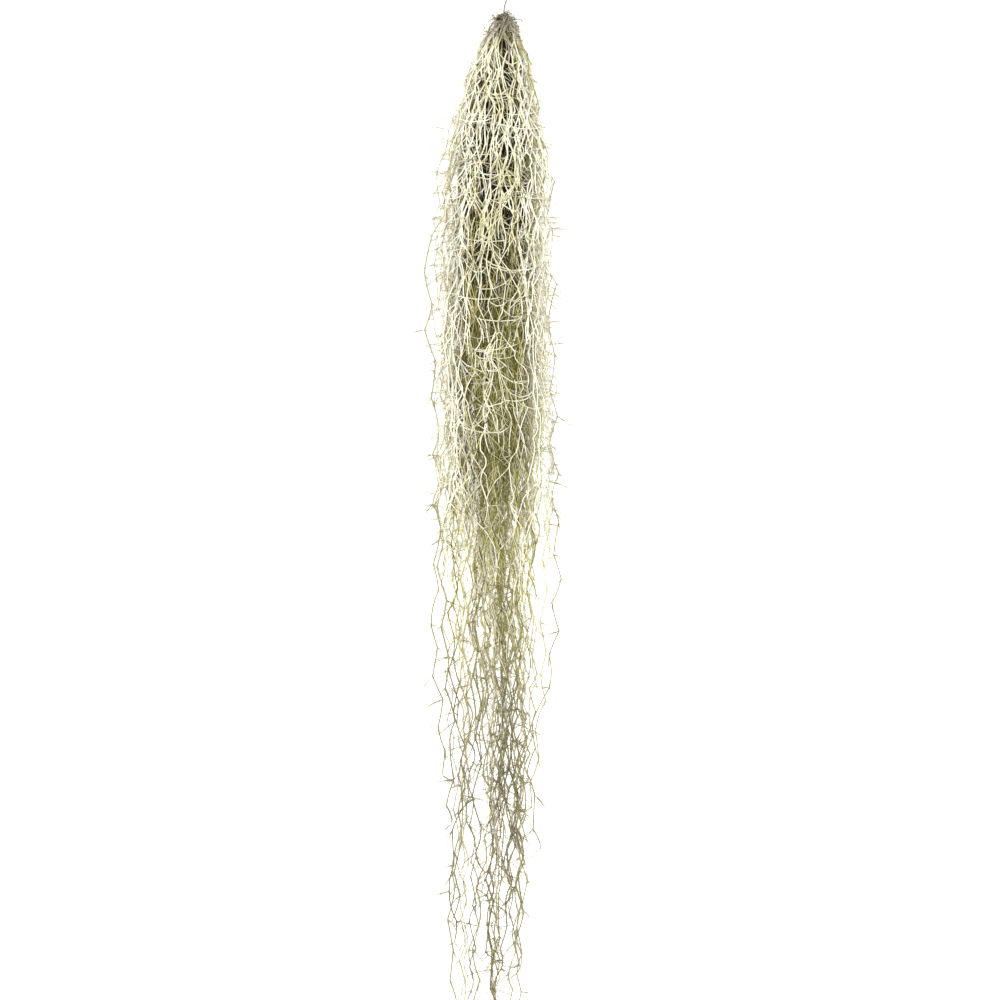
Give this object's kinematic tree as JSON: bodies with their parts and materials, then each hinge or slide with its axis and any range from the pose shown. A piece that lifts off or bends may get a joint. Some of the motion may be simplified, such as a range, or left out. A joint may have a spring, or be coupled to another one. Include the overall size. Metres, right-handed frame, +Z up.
{
  "type": "spanish moss bunch",
  "caption": "Long bunch of Spanish moss lying down: packed locks of wiry grey-green shoots at the head, loose leafy strands at the tail, bound with wire.",
  "frame": {"origin": "a point on the flat underside of the middle lock of the lowest layer, on the surface that the bunch lies on, 0.52 m back from the head", "axes": "+Z up from the surface, +Y along the bunch towards its bound head, +X to the right seen from above with the head away"},
  "size_m": [0.2607, 1.6725, 0.0831],
  "materials": {
    "moss_outer": "matt, scaly, silvery cream-green shoots",
    "moss_inner": "matt, olive shoots in the shade of the bunch",
    "tie_wire": "dark annealed wire"
  },
  "bodies": {
    "root": {"under_lock_1": "moss_inner", "under_lock_2": "moss_inner", "under_lock_3": "moss_inner", "middle_lock_1": "moss_outer", "middle_lock_2": "moss_outer", "middle_lock_3": "moss_outer", "middle_lock_4": "moss_outer", "upper_lock_1": "moss_outer", "upper_lock_2": "moss_outer", "upper_lock_3": "moss_outer", "tie_wire": "tie_wire"}
  },
  "joints": []
}
